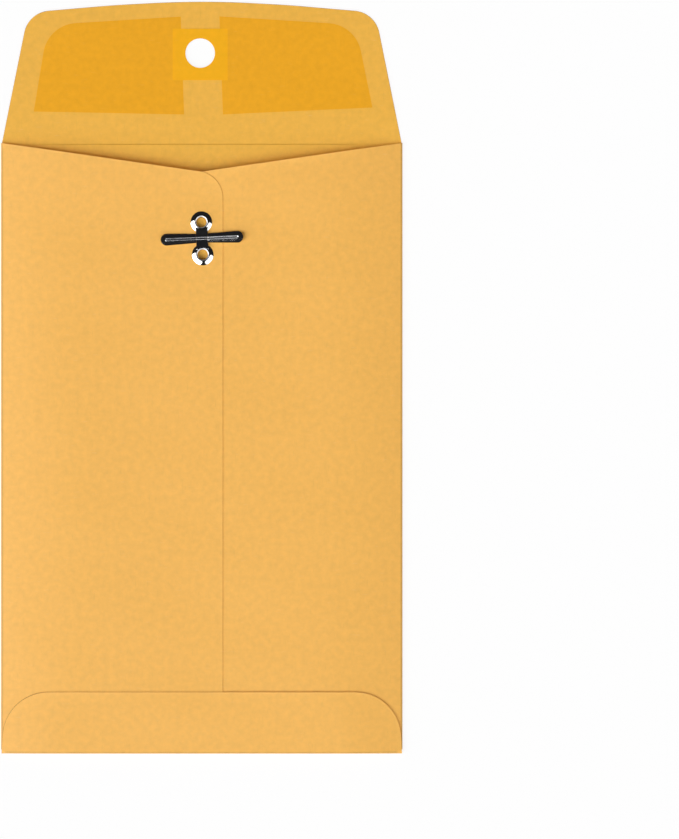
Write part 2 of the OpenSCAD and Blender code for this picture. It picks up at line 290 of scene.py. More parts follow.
def throat_depth(x, y):
    """Distance of the left panel's places from its edge at the throat."""
    edge_y = crease_y + SHOULDER_RISE - THROAT_SLOPE * (x + half_w)
    return (edge_y - y) / math.hypot(1, THROAT_SLOPE)


def left_height(x, y):
    """Mid-paper height of the left panel, whose seam and throat edges curl."""
    depth = edge_depth(seam_reach - x, throat_depth(x, y), PANEL_CORNER_R)
    above_flap = y - bottom_y - bottom_flap_h
    free = smooth(*CURL_FROM_BOTTOM, above_flap) * smooth(*CURL_FROM_SIDE, x + half_w)
    return over_mid_z + back_relief(x, y) + curl(depth, SEAM_CURL) * free


def right_height(x, y):
    """Mid-paper height of the right panel, whose throat edge curls where the left panel doesn't cover it."""
    free = smooth(*CURL_FROM_LAP, x) * smooth(*CURL_FROM_SIDE, half_w - x)
    return under_mid_z + back_relief(x, y) + curl(throat_depth(-x, y), THROAT_CURL) * free


def bottom_height(x, y):
    """Mid-paper height of the bottom flap, whose edges curl away from its fold."""
    up = y - bottom_y
    from_end = (half_w - paper_t - up * math.tan(BOTTOM_LEAN) - np.abs(x)) * math.cos(BOTTOM_LEAN)
    depth = edge_depth(from_end, bottom_flap_h - up, BOTTOM_CORNER_R)
    return bottom_mid_z + back_relief(x, y) + curl(depth, BOTTOM_CURL) * smooth(*CURL_FROM_BOTTOM, up)


# Flat outlines


def unit(v):
    return v / np.linalg.norm(v)


def rounded(points, radii, step=0.35):
    """An outline with its corners rounded: points in order, and a radius for each."""
    points = [np.array(p, float) for p in points]
    out = []
    for i, at in enumerate(points):
        if radii[i] <= 0:
            out.append(at)
            continue
        a = unit(points[i - 1] - at)
        b = unit(points[(i + 1) % len(points)] - at)
        half = math.acos(np.dot(a, b)) / 2
        centre = at + unit(a + b) * radii[i] / math.sin(half)
        start = at + a * radii[i] / math.tan(half) - centre
        turn = math.pi - 2 * half
        side = math.copysign(1, a[0] * b[1] - a[1] * b[0])
        count = max(2, math.ceil(turn * radii[i] / step))
        for k in range(count + 1):
            c, s = math.cos(-side * turn * k / count), math.sin(-side * turn * k / count)
            out.append(centre + np.array([c * start[0] - s * start[1], s * start[0] + c * start[1]]))
    return np.array(out)


def divided(outline, step):
    """The outline with no side longer than step."""
    out = []
    for a, b in zip(outline, np.roll(outline, -1, axis=0)):
        count = max(1, math.ceil(np.linalg.norm(b - a) / step))
        out.extend(a + (b - a) * k / count for k in range(count))
    return np.array(out)


def circle(centre, r, count=72):
    angles = np.linspace(0, 2 * math.pi, count, endpoint=False)
    return np.stack([centre[0] + r * np.cos(angles), centre[1] + r * np.sin(angles)], axis=1)


def arc_points(centre, r, from_degrees, to_degrees, count):
    angles = np.radians(np.linspace(from_degrees, to_degrees, count))
    return np.stack([centre[0] + r * np.cos(angles), centre[1] + r * np.sin(angles)], axis=1)


def rectangle(low, high):
    return np.array([(low[0], low[1]), (high[0], low[1]), (high[0], high[1]), (low[0], high[1])])


def mirrored(outline):
    return (outline * [-1, 1])[::-1]


def flap_half_w(reach):
    return half_w - reach * math.tan(FLAP_LEAN)


flap_corner_h = flap_h - FLAP_CROWN
flap_corner_x = flap_half_w(flap_corner_h)
crown_mid_x = flap_corner_x / 2
crown_mid_h = flap_h - FLAP_CROWN / 3
crown_angle = math.atan((flap_h - crown_mid_h) / crown_mid_x)
peak_h = flap_h + CROWN_R * (1 / math.cos(crown_angle) - 1)


def flap_top(x):
    """Height of the flap's top edge above the crease."""
    heights = [flap_h, crown_mid_h, flap_corner_h]
    return float(np.interp(abs(x), [0, crown_mid_x, flap_corner_x], heights))


def flap_outline():
    """The closure flap with its root, which runs down to the front panel's top edge."""
    root = front_top_y - crease_y
    root_x = half_w - paper_t
    outline = rounded(
        [
            (-root_x, root),
            (root_x, root),
            (root_x, 0),
            (flap_corner_x, flap_corner_h),
            (crown_mid_x, crown_mid_h),
            (0, peak_h),
            (-crown_mid_x, crown_mid_h),
            (-flap_corner_x, flap_corner_h),
            (-root_x, 0),
        ],
        [0, 0, 0, FLAP_CORNER_R, CROWN_R, CROWN_R, CROWN_R, FLAP_CORNER_R, 0],
    )
    return outline + [0, crease_y]


def hole_outline():
    return circle((hole_x, hole_y), hole_r, HOLE_POINTS)


def strip_x(side, reach):
    """Edge of the bare strip between the gum areas."""
    lean = (crease_y + reach - hole_y) * math.tan(GUM_STRIP_LEAN)
    return hole_x + GUM_STRIP_SHIFT + side * GUM_STRIP_W / 2 - lean


def gum_outline(side, low_outer, inset):
    """A gum area: its low outer corner is low_outer above the crease, and inset further in than its side."""
    def gum_x(reach):
        return side * (flap_half_w(reach) - GUM_SIDE)

    inner_top = flap_top(strip_x(side, flap_h)) - GUM_TOP
    outer_top = flap_top(gum_x(flap_corner_h)) - GUM_TOP
    patch_low, patch_high = node_box("hole_patch")
    patch_edge = patch_high[0] if side > 0 else patch_low[0]
    under, over = patch_low[1] - crease_y, patch_high[1] - crease_y
    outline = rounded(
        [
            (strip_x(side, GUM_LOW_INNER), GUM_LOW_INNER),
            (gum_x(low_outer) - side * inset, low_outer),
            (gum_x(outer_top), outer_top),
            (strip_x(side, inner_top), inner_top),
            (strip_x(side, over), over),
            (patch_edge, over),
            (patch_edge, under),
            (strip_x(side, under), under),
        ],
        [0, 0, GUM_CORNER_R, 0, 0, 0, 0, 0],
    )
    return outline + [0, crease_y]


def panel_outline(flat_edge):
    """The left back panel, laid flat: its fold runs on to flat_edge."""
    shoulder = crease_y + SHOULDER_RISE
    return rounded(
        [
            (flat_edge, panel_bottom_y),
            (seam_reach, panel_bottom_y),
            (seam_reach, shoulder - THROAT_SLOPE * (seam_reach + half_w)),
            (-half_w, shoulder),
            (flat_edge, shoulder),
        ],
        [0, 0, PANEL_CORNER_R, 0, 0],
    )


def bottom_outline(margin, flat_edge):
    """The bottom flap drawn in by a margin, laid flat: its fold runs on to flat_edge."""
    top = bottom_flap_h - margin
    half_base = half_w - paper_t - margin
    half_top = half_base - top * math.tan(BOTTOM_LEAN)
    radius = BOTTOM_CORNER_R - margin
    outline = rounded(
        [(-half_base, flat_edge), (half_base, flat_edge), (half_top, top), (-half_top, top)],
        [0, 0, radius, radius],
    )
    return outline + [0, bottom_y]


# Surfaces that a flat sheet is laid on: each gives points and normals for flat places

SLOPE_GAP = 0.01


def height_surface(height):
    """A surface that is a height over each place."""
    def surface(x, y):
        slope_x = (height(x + SLOPE_GAP, y) - height(x - SLOPE_GAP, y)) / (2 * SLOPE_GAP)
        slope_y = (height(x, y + SLOPE_GAP) - height(x, y - SLOPE_GAP)) / (2 * SLOPE_GAP)
        normal = np.stack([-slope_x, -slope_y, np.ones_like(x)], axis=1)
        normal /= np.linalg.norm(normal, axis=1)[:, None]
        return np.stack([x, y, height(x, y)], axis=1), normal

    return surface


def fold_radius(level, drop):
    """Mid-paper radius of a fold from the front panel up to a back layer that sinks by drop at its edge."""
    return (level - drop - front_mid_z) / 2


def folded_surface(height, radius, axis, edge):
    """A height surface that rolls down to the front panel at edge, along -X or -Y by axis.

    Also gives where the fold starts, and how far the sheet runs when laid flat.
    """
    flat = height_surface(height)
    fold_at = edge + radius + paper_t / 2

    def surface(x, y):
        place = np.stack([x, y], axis=1)
        turn = np.clip(fold_at - place[:, axis], 0, None) / radius
        place[:, axis] = np.maximum(place[:, axis], fold_at)
        point, normal = flat(place[:, 0], place[:, 1])
        rolled = turn > 0
        sine, cosine = np.sin(turn[rolled]), np.cos(turn[rolled])
        half_h = (point[rolled, 2] - front_mid_z) / 2
        point[rolled, axis] -= radius * sine
        point[rolled, 2] -= half_h * (1 - cosine)
        outward = np.zeros((len(sine), 3))
        outward[:, axis] = -sine / radius
        outward[:, 2] = cosine / half_h
        normal[rolled] = outward / np.linalg.norm(outward, axis=1)[:, None]
        return point, normal

    return surface, fold_at, fold_at - math.pi * radius


def raised(surface, offset):
    """A surface that lies offset above another."""
    def above(x, y):
        point, normal = surface(x, y)
        return point + offset * normal, normal

    return above


def flipped(surface):
    """A surface mirrored across the middle of the pocket."""
    def mirror(x, y):
        point, normal = surface(-x, y)
        return point * [-1, 1, 1], normal * [-1, 1, 1]

    return mirror


# Sheets as meshes, and the order of their materials

# The fourth slot holds painted shade along the folds.
TOP, UNDERSIDE, CUT, FOLD_SHADE = range(4)


def inside(points, loops):
    """Which points an outline and its holes enclose."""
    hit = np.zeros(len(points), bool)
    x, y = points[:, 0], points[:, 1]
    for loop in loops:
        for a, b in zip(loop, np.roll(loop, -1, axis=0)):
            if a[1] == b[1]:
                continue
            crosses = (a[1] > y) != (b[1] > y)
            hit ^= crosses & (x < a[0] + (y - a[1]) * (b[0] - a[0]) / (b[1] - a[1]))
    return hit


def clear_of(points, loops, gap=0.3):
    """Which points lie further than gap from every outline point."""
    rim = np.concatenate(loops)
    tree = KDTree(len(rim))
    for i, p in enumerate(rim):
        tree.insert((p[0], p[1], 0), i)
    tree.balance()
    return np.array([tree.find((p[0], p[1], 0))[2] > gap for p in points], bool)


def evened(places, columns, rows):
    """Places moved so that the grid's columns and rows are all one unit apart."""
    across = np.interp(places[:, 0], columns, np.arange(len(columns)))
    up = np.interp(places[:, 1], rows, np.arange(len(rows)))
    return np.stack([across, up], axis=1)


def triangulate(loops, columns, rows):
    """Places and triangles of a flat sheet, with grid points inside its outline and holes."""
    grid = np.stack(np.meshgrid(columns, rows), axis=-1).reshape(-1, 2)
    grid = grid[inside(grid, loops)]
    grid = grid[clear_of(evened(grid, columns, rows), [evened(loop, columns, rows) for loop in loops])]
    places = np.concatenate([*loops, grid])
    edges, first = [], 0
    for loop in loops:
        edges.extend((first + i, first + (i + 1) % len(loop)) for i in range(len(loop)))
        first += len(loop)
    enclosed, tolerance = 1, 1e-6
    spots = [Vector(p) for p in evened(places, columns, rows)]
    _, _, triangles, sources, *_ = delaunay_2d_cdt(spots, edges, [], enclosed, tolerance)
    places = places[[source[0] for source in sources]]
    triangles = np.array(triangles, int)
    triangles = triangles[inside(places[triangles].mean(axis=1), loops)]
    a, b, c = (places[triangles[:, i]] for i in range(3))
    turned = (b[:, 0] - a[:, 0]) * (c[:, 1] - a[:, 1]) < (b[:, 1] - a[:, 1]) * (c[:, 0] - a[:, 0])
    triangles[turned] = triangles[turned][:, ::-1]
    return places, triangles


def rim_edges(triangles):
    """Directed edges that only one triangle has."""
    edges = {(int(t[i]), int(t[(i + 1) % 3])) for t in triangles for i in range(3)}
    return [(a, b) for a, b in edges if (b, a) not in edges]


def inward(places, rim):
    """Unit directions into the sheet at its rim, and zero elsewhere."""
    total = np.zeros_like(places)
    for a, b in rim:
        left = unit((places[b] - places[a])[::-1] * [-1, 1])
        total[a] += left
        total[b] += left
    lengths = np.linalg.norm(total, axis=1)
    return total / np.where(lengths > 0, lengths, 1)[:, None]


def keep_flat_places(mesh, places):
    """Stores where each vertex lies on the flat sheet, for the materials."""
    layer = mesh.uv_layers.new(name="flat")
    at = np.zeros(len(mesh.loops), np.int32)
    mesh.loops.foreach_get("vertex_index", at)
    layer.data.foreach_set("uv", places[at].astype(np.float32).ravel())


def new_object(name, data):
    """A new object in the scene."""
    made = bpy.data.objects.new(name, data)
    bpy.context.scene.collection.objects.link(made)
    return made


def lay_sheet(name, loops, columns, rows, surface, thick, materials, step=0.6, slant=None, wear_and_fold_shade=None):
    """A sheet cut flat to an outline and holes, laid on a surface.

    materials are top, underside and cut, and a fourth, painted shade, for the top places that the last
    argument picks.
    slant gives how far the cut leans in at each place.
    """
    loops = [divided(loop, step) for loop in loops]
    places, triangles = triangulate(loops, columns, rows)
    rim = sorted(rim_edges(triangles))
    under, under_normal = surface(places[:, 0], places[:, 1])
    top_places = places + inward(places, rim) * slant(places)[:, None] if slant else places
    top, top_normal = surface(top_places[:, 0], top_places[:, 1])
    count = len(places)
    vertices = np.concatenate([top + top_normal * thick / 2, under - under_normal * thick / 2]) * MM
    sides = [(a, a + count, b + count, b) for a, b in rim]
    faces = [*map(tuple, triangles.tolist()), *map(tuple, (triangles[:, ::-1] + count).tolist()), *sides]
    mesh = bpy.data.meshes.new(name)
    mesh.from_pydata(vertices.tolist(), [], faces)
    slots = np.repeat([TOP, UNDERSIDE, CUT], [len(triangles), len(triangles), len(sides)])
    # Top places that the last argument picks get the fourth material: painted shade along the folds.
    if wear_and_fold_shade:
        slots[:len(triangles)] = np.where(wear_and_fold_shade(places[triangles].mean(axis=1)), FOLD_SHADE, TOP)
    mesh.polygons.foreach_set("material_index", slots.astype(np.int32))
    mesh.polygons.foreach_set("use_smooth", np.ones(len(faces), bool))
    sharp = {frozenset(edge) for a, b in rim for edge in ((a, b), (a + count, b + count))}
    mesh.edges.foreach_set("use_edge_sharp", [frozenset(e.vertices) in sharp for e in mesh.edges])
    keep_flat_places(mesh, np.concatenate([places, places]))
    for material in materials:
        mesh.materials.append(material)
    mesh.update()
    mesh.validate()
    return new_object(name + "_sheet", mesh)


def spread(low, high, step):
    """Even places from low to high, about step apart."""
    return np.linspace(low, high, max(2, round((high - low) / step) + 1))


# Materials


def new_material(name):
    material = bpy.data.materials.new(name)
    material.use_nodes = True
    return material, material.node_tree, material.node_tree.nodes["Principled BSDF"]


def add(tree, kind, inputs=None, **settings):
    """A new node of a kind, with its settings and the values of its inputs."""
    node = tree.nodes.new(kind)
    for key, value in settings.items():
        setattr(node, key, value)
    for key, value in (inputs or {}).items():
        node.inputs[key].default_value = value
    return node


def noise(tree, vector, scale, detail, stretch=(1, 1, 1), roughness=0.55):
    """Noise over a flat sheet, in cycles per millimetre, drawn out where stretch is under 1."""
    mapping = add(tree, "ShaderNodeMapping", {"Scale": stretch})
    tree.links.new(vector, mapping.inputs["Vector"])
    settings = {"Scale": scale, "Detail": detail, "Roughness": roughness}
    texture = add(tree, "ShaderNodeTexNoise", settings)
    tree.links.new(mapping.outputs[0], texture.inputs["Vector"])
    return texture.outputs["Fac"]


def ramp(tree, value, low, high, from_value, to_value):
    """value from low to high, as from_value to to_value."""
    node = add(tree, "ShaderNodeMapRange")
    node.inputs["From Min"].default_value = low
    node.inputs["From Max"].default_value = high
    node.inputs["To Min"].default_value = from_value
    node.inputs["To Max"].default_value = to_value
    tree.links.new(value, node.inputs["Value"])
    return node.outputs[0]


def mix(tree, factor, a, b):
    """Colour a, turning to colour b with factor."""
    node = add(tree, "ShaderNodeMix", data_type="RGBA")
    tree.links.new(factor, node.inputs["Factor"])
    for key, value in (("A", a), ("B", b)):
        socket = next(s for s in node.inputs if s.name == key and s.type == "RGBA")
        if isinstance(value, tuple):
            socket.default_value = (*value, 1)
        else:
            tree.links.new(value, socket)
    return next(s for s in node.outputs if s.type == "RGBA")


def scaled(colour, factor):
    return tuple(min(1, c * factor) for c in colour)


def larger(tree, a, b):
    node = add(tree, "ShaderNodeMath", operation="MAXIMUM")
    tree.links.new(a, node.inputs[0])
    tree.links.new(b, node.inputs[1])
    return node.outputs[0]


def size_of(tree, value):
    node = add(tree, "ShaderNodeMath", operation="ABSOLUTE")
    tree.links.new(value, node.inputs[0])
    return node.outputs[0]


def show_mixed(tree, factor, a, b):
    """The material shows shader a, turning to shader b with factor."""
    node = add(tree, "ShaderNodeMixShader")
    for socket, output in zip(node.inputs, (factor, a.outputs[0], b.outputs[0])):
        tree.links.new(output, socket)
    tree.links.new(node.outputs[0], tree.nodes["Material Output"].inputs["Surface"])


def let_through(tree, shader, colour):
    """A share of the lamps' light, in a colour, comes through each face of the sheet."""
    clear = add(tree, "ShaderNodeBsdfTransparent", {"Color": (*colour, 1)})
    path = add(tree, "ShaderNodeLightPath")
    show_mixed(tree, path.outputs["Is Shadow Ray"], shader, clear)


# Grain of the paper: its noises, and the parts of their range that show
CLOUDS = {"scale": 0.4, "detail": 6}
DARK_FIBRES = {"scale": 1.6, "detail": 2, "stretch": (1, 0.12, 1)}
LIGHT_FIBRES = {"scale": 1.9, "detail": 2, "stretch": (0.15, 1, 1)}
TOOTH = {"scale": 3.2, "detail": 5, "stretch": (1, 0.5, 1)}
MIDDLE_RANGE = (0.3, 0.7)
DARK_FIBRE_RANGE = (0.62, 0.74)
LIGHT_FIBRE_RANGE = (0.64, 0.76)
DARK_FIBRE_SHARE = 0.55
LIGHT_FIBRE_SHARE = 0.4
TOOTH_SMOOTHER = 0.06
TOOTH_ROUGHER = 0.08
TOOTH_DEPTH = 0.02
TOOTH_STRENGTH = 0.35

# Grain of the tinplate, and how rough handling has made the bar
ROLLING_LINES = {"scale": 4, "detail": 2, "stretch": (0.05, 1, 1)}
TIN_SPOTS = {"scale": 1.1, "detail": 3}
SPOT_TONE_RANGE = (0.35, 0.65)
SPOT_DULL_RANGE = (0.3, 0.8)
LINE_DEPTH = 0.01
LINE_STRENGTH = 0.05
RUB_ON_BEAD = 0.34
RUB_ON_CROWN = 0.2
RUB_FADE = 0.3


def paper(name, colour, roughness=0.5, cloud=0.05, fleck=0.12, specular=0.8, through=None):
    """Kraft paper: clouded colour, dark fibres up the sheet, light ones across it, and a fine tooth."""
    material, tree, shader = new_material(name)
    flat = add(tree, "ShaderNodeUVMap", uv_map="flat").outputs[0]
    clouds = ramp(tree, noise(tree, flat, **CLOUDS), *MIDDLE_RANGE, 0, 1)
    shade = mix(tree, clouds, scaled(colour, 1 - cloud), scaled(colour, 1 + cloud))
    dark = ramp(tree, noise(tree, flat, **DARK_FIBRES), *DARK_FIBRE_RANGE, 0, fleck)
    shade = mix(tree, dark, shade, scaled(colour, DARK_FIBRE_SHARE))
    light = ramp(tree, noise(tree, flat, **LIGHT_FIBRES), *LIGHT_FIBRE_RANGE, 0, fleck)
    paler = tuple((1 - LIGHT_FIBRE_SHARE) * c + LIGHT_FIBRE_SHARE for c in colour)
    shade = mix(tree, light, shade, paler)
    tree.links.new(shade, shader.inputs["Base Color"])
    tooth = noise(tree, flat, **TOOTH)
    smoothest, roughest = roughness - TOOTH_SMOOTHER, roughness + TOOTH_ROUGHER
    dullness = ramp(tree, tooth, *MIDDLE_RANGE, smoothest, roughest)
    tree.links.new(dullness, shader.inputs["Roughness"])
    bump = add(tree, "ShaderNodeBump", {"Strength": TOOTH_STRENGTH, "Distance": TOOTH_DEPTH * MM})
    tree.links.new(tooth, bump.inputs["Height"])
    tree.links.new(bump.outputs[0], shader.inputs["Normal"])
    shader.inputs["Specular IOR Level"].default_value = specular
    if through:
        let_through(tree, shader, through)
    return material


def rubbed(tree, flat):
    """Roughness that handling leaves along the bar: most on the beads, less on the crown between them."""
    parts = add(tree, "ShaderNodeSeparateXYZ")
    tree.links.new(flat, parts.inputs[0])
    off = size_of(tree, parts.outputs["Y"])
    from_bead = add(tree, "ShaderNodeMath", {1: BEAD_AT}, operation="SUBTRACT")
    tree.links.new(off, from_bead.inputs[0])
    beside = size_of(tree, from_bead.outputs[0])
    on_bead = ramp(tree, beside, BEAD_HALF / 2, BEAD_HALF * 1.5, RUB_ON_BEAD, 0)
    on_crown = ramp(tree, off, BEAD_AT, BEAD_AT + RUB_FADE, RUB_ON_CROWN, 0)
    ends = ramp(tree, size_of(tree, parts.outputs["X"]), tip_u, tip_u + BEAD_AT, 1, 0)
    rub = add(tree, "ShaderNodeMath", operation="MULTIPLY")
    tree.links.new(larger(tree, on_bead, on_crown), rub.inputs[0])
    tree.links.new(ends, rub.inputs[1])
    return rub.outputs[0]


def tinplate(name, bright, dull):
    """Tinned steel with rolling lines, and spots whose roughness runs from bright to dull."""
    material, tree, shader = new_material(name)
    flat = add(tree, "ShaderNodeUVMap", uv_map="flat").outputs[0]
    lines = noise(tree, flat, **ROLLING_LINES)
    spots = noise(tree, flat, **TIN_SPOTS)
    tone = mix(tree, ramp(tree, spots, *SPOT_TONE_RANGE, 0, 1), TIN_DARK, TIN_LIGHT)
    tree.links.new(tone, shader.inputs["Base Color"])
    dullness = larger(tree, ramp(tree, spots, *SPOT_DULL_RANGE, bright, dull), rubbed(tree, flat))
    tree.links.new(dullness, shader.inputs["Roughness"])
    bump = add(tree, "ShaderNodeBump", {"Strength": LINE_STRENGTH, "Distance": LINE_DEPTH * MM})
    tree.links.new(lines, bump.inputs["Height"])
    tree.links.new(bump.outputs[0], shader.inputs["Normal"])
    shader.inputs["Metallic"].default_value = 1
    return material


KRAFT_OUTER = (0.908, 0.472, 0.080)
KRAFT_INNER = (0.85, 0.447, 0.054)
# Paler colour of cut edges is a painted highlight, where an edge catches the light
KRAFT_CUT_PAINTED_HIGHLIGHT = (0.92, 0.60, 0.22)
# Dark colour of cut edges is painted shade: a thin shadow line along them
CUT_PAINTED_SHADE = (0.36, 0.17, 0.03)
GUM = (0.845, 0.386, 0.016)
PATCH = (0.905, 0.428, 0.008)
GLUE = (0.75, 0.62, 0.36)
TIN_DARK = (0.74, 0.75, 0.77)
TIN_LIGHT = (0.86, 0.86, 0.87)
# Share of the outside kraft's colour kept on the folds, for their painted shade
FOLD_SHADE_SHARE = 0.74
LIGHT_THROUGH = (0.62, 0.49, 0.30)

outer_paper = paper("kraft_outside", KRAFT_OUTER, through=LIGHT_THROUGH)
inner_paper = paper("kraft_inside", KRAFT_INNER, specular=0.5, through=LIGHT_THROUGH)
# Pale cut edges: painted highlight
cut_painted_highlight = paper("kraft_cut_painted_highlight", KRAFT_CUT_PAINTED_HIGHLIGHT, roughness=0.8, through=LIGHT_THROUGH)
# Dark cut edges: painted shade
cut_painted_shade = paper("kraft_cut_painted_shade", CUT_PAINTED_SHADE, roughness=0.8, through=LIGHT_THROUGH)
# Darker kraft on the folds is painted shade
fold_painted_shade = paper("kraft_fold_painted_shade", scaled(KRAFT_OUTER, FOLD_SHADE_SHARE), through=LIGHT_THROUGH)
gum_film = paper("dried_gum", GUM, roughness=0.42, cloud=0.04, fleck=0.06, specular=0.2)
patch_paper = paper("patch_paper", PATCH, roughness=0.5, cloud=0.03, fleck=0.05, specular=0.2)
glue_film = paper("dried_glue", GLUE, roughness=0.5, cloud=0.1, fleck=0.05)
tin = tinplate("tinplate", bright=0.05, dull=0.13)
worn_tin = tinplate("tinplate_worn", bright=0.35, dull=0.55)


# Pieces


def settle(piece, body, slot, *nodes):
    """The piece rides on a body and stands for nodes; slot is not used."""
    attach(piece, body)
    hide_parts(*nodes)


def eyelet_holes():
    return [circle(centre, barrel_r + BARREL_CLEAR) for centre in eyelets]


left_fold_r = fold_radius(over_mid_z, EDGE_DROP)
right_fold_r = fold_radius(under_mid_z, EDGE_DROP)
left_surface, left_fold_at, left_flat_edge = folded_surface(left_height, left_fold_r, 0, -half_w)
right_surface_flipped, right_fold_at, right_flat_edge = folded_surface(
    lambda x, y: right_height(-x, y), right_fold_r, 0, -half_w
)
right_surface = flipped(right_surface_flipped)
bottom_surface, bottom_fold_at, bottom_flat_edge = folded_surface(bottom_height, BOTTOM_FOLD_R, 1, bottom_y)
flap_surface = height_surface(lambda x, y: front_mid_z + flap_relief(x, y))

# Steps of the sheets' grids
PANEL_STEP = 2.5
PATCH_STEP = 1.5
FOLD_STEPS = 16
NEAR_FOLD = 6
NEAR_FOLD_STEP = 0.8
CURL_STEP = 0.5

# Painted shade in lines along the folds: its width beside each fold, and how far round the turn it reaches
FOLD_SHADE_W = 0.35
FOLD_SHADE_TURN = 1.9

panel_rows = spread(panel_bottom_y, crease_y + SHOULDER_RISE, PANEL_STEP)


def fold_places(fold_at, flat_edge, far):
    """Places across a folded sheet: close together round the fold and where the sheet sinks to it."""
    return np.concatenate([
        np.linspace(flat_edge, fold_at, FOLD_STEPS),
        spread(fold_at + FOLD_SHADE_W, fold_at + NEAR_FOLD, NEAR_FOLD_STEP),
        spread(fold_at + NEAR_FOLD, far - CURL_REACH, PANEL_STEP)[1:],
        spread(far - CURL_REACH, far, CURL_STEP)[1:],
    ])


def on_fold(flat, fold_at, radius):
    """Which flat places lie beside a fold or on its outer turn, where the fold gets painted shade."""
    return (flat < fold_at + FOLD_SHADE_W) & (flat > fold_at - FOLD_SHADE_TURN * radius)


def seam_slant(places):
    """How far the left panel's cut leans in: along its seam and round its corner, and not at the throat."""
    start, full = seam_reach - PANEL_CORNER_R, seam_reach - PANEL_CORNER_R / 3
    return SEAM_CUT_SLANT * smooth(start, full, places[:, 0])


def bottom_slant(places):
    """How far the bottom flap's cut leans in: at its left end only, where the leaning cut shows its painted
    shade from above.
    """
    start, full = BOTTOM_CUT_FROM_SIDE
    return BOTTOM_CUT_SLANT * smooth(half_w - start, half_w - full, -places[:, 0])


def flap_slant(places):
    """How far the closure flap's cut leans in: everywhere but at its crease, so that the cut's painted shade
    shows from above.
    """
    return FLAP_CUT_SLANT * smooth(*FLAP_CUT_FROM_CREASE, places[:, 1] - crease_y)


def front_panel():
    low = (left_fold_at, bottom_fold_at)
    high = (-right_fold_at, front_top_y)
    piece = lay_sheet(
        "front_panel",
        [rectangle(low, high)],
        spread(low[0], high[0], PANEL_STEP),
        spread(low[1], high[1], PANEL_STEP),
        height_surface(lambda x, y: front_mid_z + front_relief(x, y)),
        paper_t,
        # The cut carries a painted highlight.
        [inner_paper, outer_paper, cut_painted_highlight],
    )
    settle(piece, "pocket", "kraft_paper", "front_panel")


def left_back_panel():
    piece = lay_sheet(
        "left_back_panel",
        [panel_outline(left_flat_edge), *eyelet_holes()],
        fold_places(left_fold_at, left_flat_edge, seam_reach),
        panel_rows,
        left_surface,
        paper_t,
        # The fold carries painted shade.
        [outer_paper, inner_paper, outer_paper, fold_painted_shade],
        slant=seam_slant,
        wear_and_fold_shade=lambda places: on_fold(places[:, 0], left_fold_at, left_fold_r),
    )
    settle(piece, "pocket", "kraft_paper", "left_back_panel", "left_side_fold")


def right_back_panel():
    piece = lay_sheet(
        "right_back_panel",
        [mirrored(panel_outline(right_flat_edge)), *eyelet_holes()],
        -fold_places(right_fold_at, right_flat_edge, seam_reach)[::-1],
        panel_rows,
        right_surface,
        paper_t,
        # The cut carries a painted highlight, and the fold painted shade.
        [outer_paper, inner_paper, cut_painted_highlight, fold_painted_shade],
        wear_and_fold_shade=lambda places: on_fold(-places[:, 0], right_fold_at, right_fold_r),
    )
    settle(piece, "pocket", "kraft_paper", "right_back_panel", "right_side_fold")


def bottom_flap():
    piece = lay_sheet(
        "bottom_flap",
        [bottom_outline(0, bottom_flat_edge - bottom_y)],
        spread(-half_w, half_w, PANEL_STEP),
        fold_places(bottom_fold_at, bottom_flat_edge, bottom_y + bottom_flap_h),
        bottom_surface,
        paper_t,
        # The cut and the fold carry painted shade.
        [outer_paper, inner_paper, cut_painted_shade, fold_painted_shade],
        slant=bottom_slant,
        wear_and_fold_shade=lambda places: on_fold(places[:, 1], bottom_fold_at, BOTTOM_FOLD_R),
    )
    settle(piece, "pocket", "kraft_paper", "bottom_flap", "bottom_fold")


def seam_glue():
    low, high = node_box("seam_glue")
    piece = lay_sheet(
        "seam_glue",
        [rectangle(low, high), *eyelet_holes()],
        spread(low[0], high[0], PANEL_STEP),
        spread(low[1], high[1], PANEL_STEP),
        raised(height_surface(lambda x, y: under_mid_z + back_relief(x, y)), (paper_t + glue_t) / 2),
        glue_t,
        [glue_film] * 3,
    )
    settle(piece, "pocket", "glue", "seam_glue")


def bottom_glue():
    outline = bottom_outline(BOTTOM_GLUE_MARGIN, bottom_fold_at - bottom_y + BOTTOM_GLUE_MARGIN)
    piece = lay_sheet(
        "bottom_glue",
        [outline],
        spread(-half_w, half_w, PANEL_STEP),
        spread(bottom_y, bottom_y + bottom_flap_h, PANEL_STEP),
        raised(bottom_surface, -(paper_t + glue_t) / 2),
        glue_t,
        [glue_film] * 3,
    )
    settle(piece, "pocket", "glue", "bottom_glue")


# Crease strip, and the steps of the flap's rows
CREASE_HALF = 0.6
CREASE_STEP = 0.07
FLAP_ROOT_STEP = 0.3
FLAP_RISE_STEP = 0.5


def closure_flap():
    rows = np.concatenate([
        spread(front_top_y, crease_y - CREASE_HALF, FLAP_ROOT_STEP),
        spread(crease_y - CREASE_HALF, crease_y + CREASE_HALF, CREASE_STEP)[1:],
        spread(crease_y + CREASE_HALF, crease_y + FLAP_RISE_LENGTH, FLAP_RISE_STEP)[1:],
        spread(crease_y + FLAP_RISE_LENGTH, crease_y + flap_h, PANEL_STEP)[1:],
    ])
    piece = lay_sheet(
        "closure_flap",
        [flap_outline(), hole_outline()],
        spread(-half_w, half_w, PANEL_STEP),
        rows,
        flap_surface,
        paper_t,
        # The cut carries painted shade.
        [inner_paper, outer_paper, cut_painted_shade],
        slant=flap_slant,
    )
    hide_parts("closure_flap", "flap_crease")
    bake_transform(piece)


def gum(name, side, low_outer, inset=0):
    low, high = node_box(name)
    piece = lay_sheet(
        name,
        [gum_outline(side, low_outer, inset)],
        spread(low[0], high[0], PANEL_STEP),
        spread(low[1], high[1], PANEL_STEP),
        raised(flap_surface, (paper_t + gum_t) / 2),
        gum_t,
        [gum_film] * 3,
    )
    settle(piece, "flap", "gum", name)


